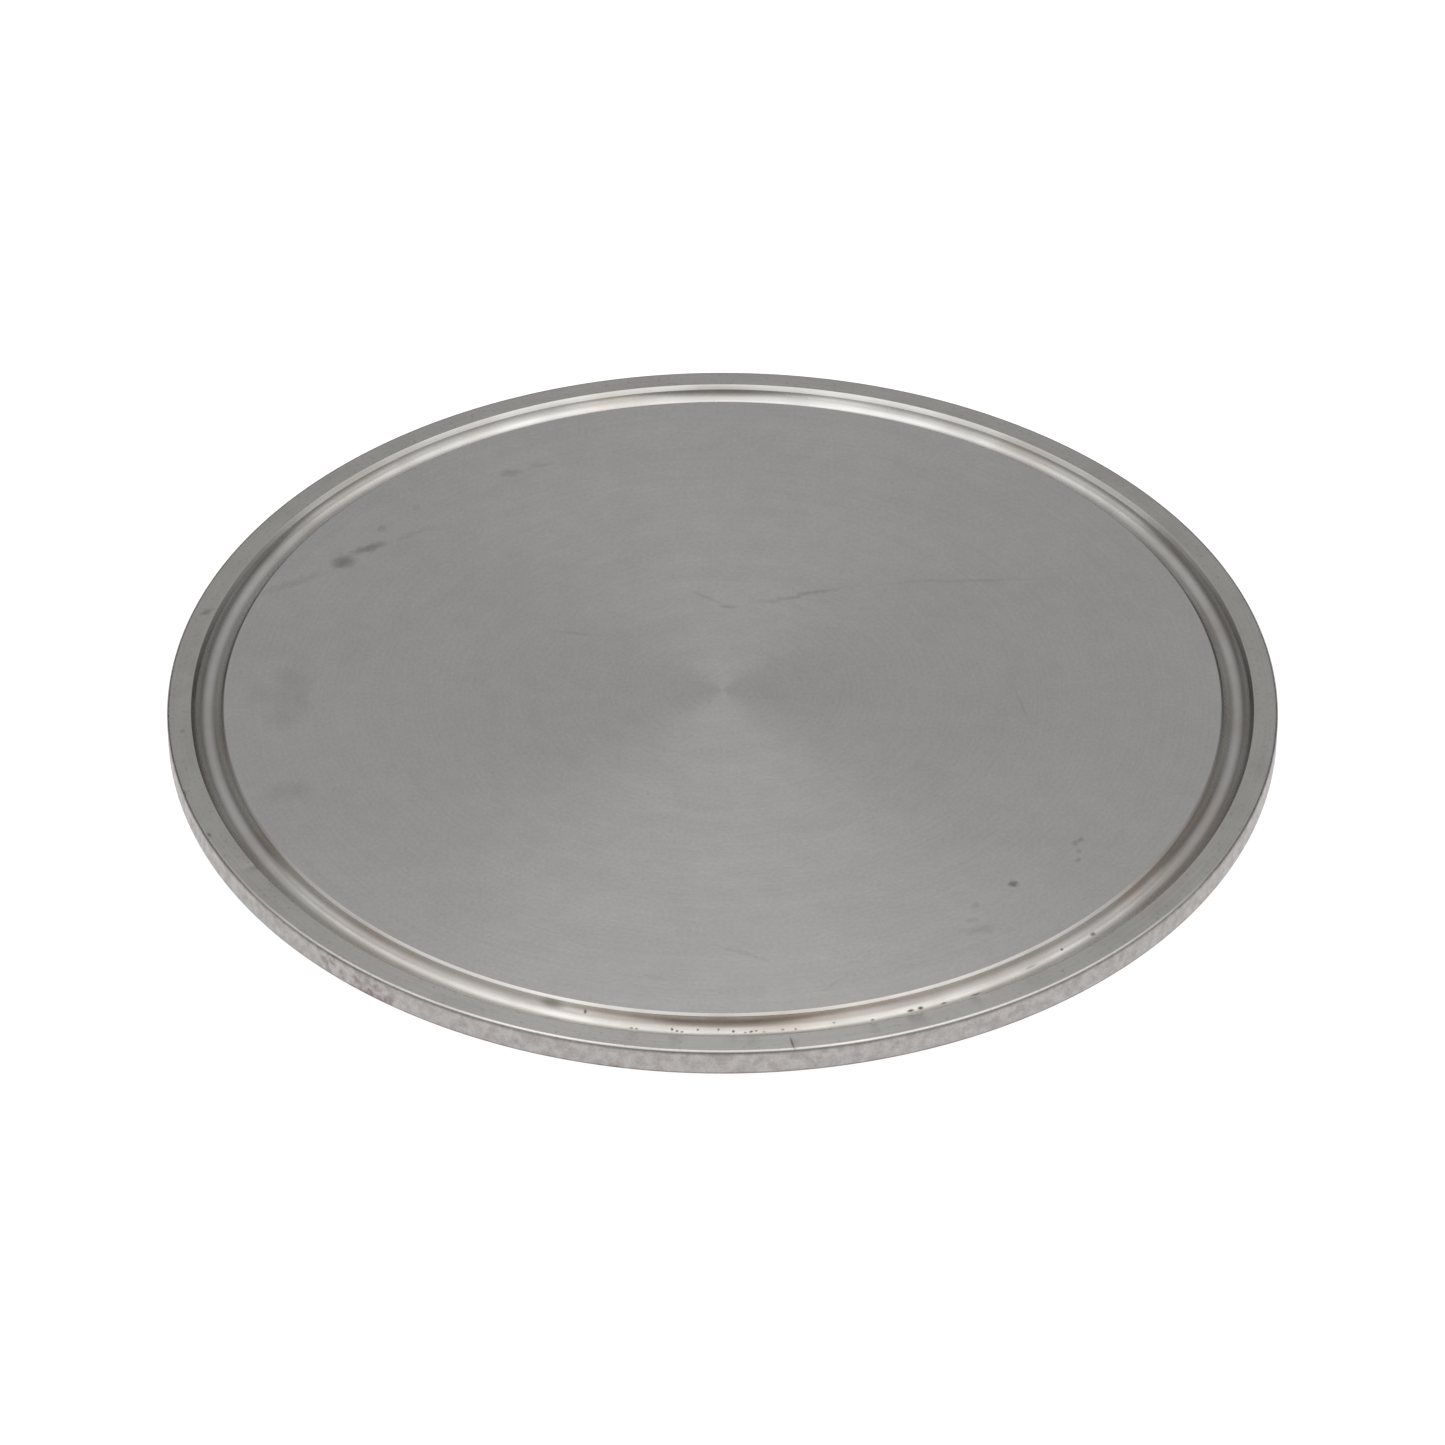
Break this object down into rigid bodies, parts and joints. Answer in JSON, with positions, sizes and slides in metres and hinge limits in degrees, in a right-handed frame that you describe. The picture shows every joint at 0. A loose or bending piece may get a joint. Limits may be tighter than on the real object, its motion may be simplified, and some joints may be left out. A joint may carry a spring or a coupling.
{
  "type": "blind flange",
  "caption": "Solid stainless steel end cap for a hygienic clamp joint: a flat disc with a round-bottomed gasket groove near the edge, an upright rim wall and a sloped clamp shoulder behind it.",
  "frame": {"origin": "middle of the flat back face", "axes": "+Z along the disc's axis, out of the sealing face; X and Y are any two directions across the disc"},
  "size_m": [0.119, 0.119, 0.0063],
  "materials": {
    "stainless_steel": "fine concentric turning marks on the flat faces, polished gasket groove and edges"
  },
  "bodies": {
    "root": {"blank_disc": "stainless_steel"}
  },
  "joints": []
}
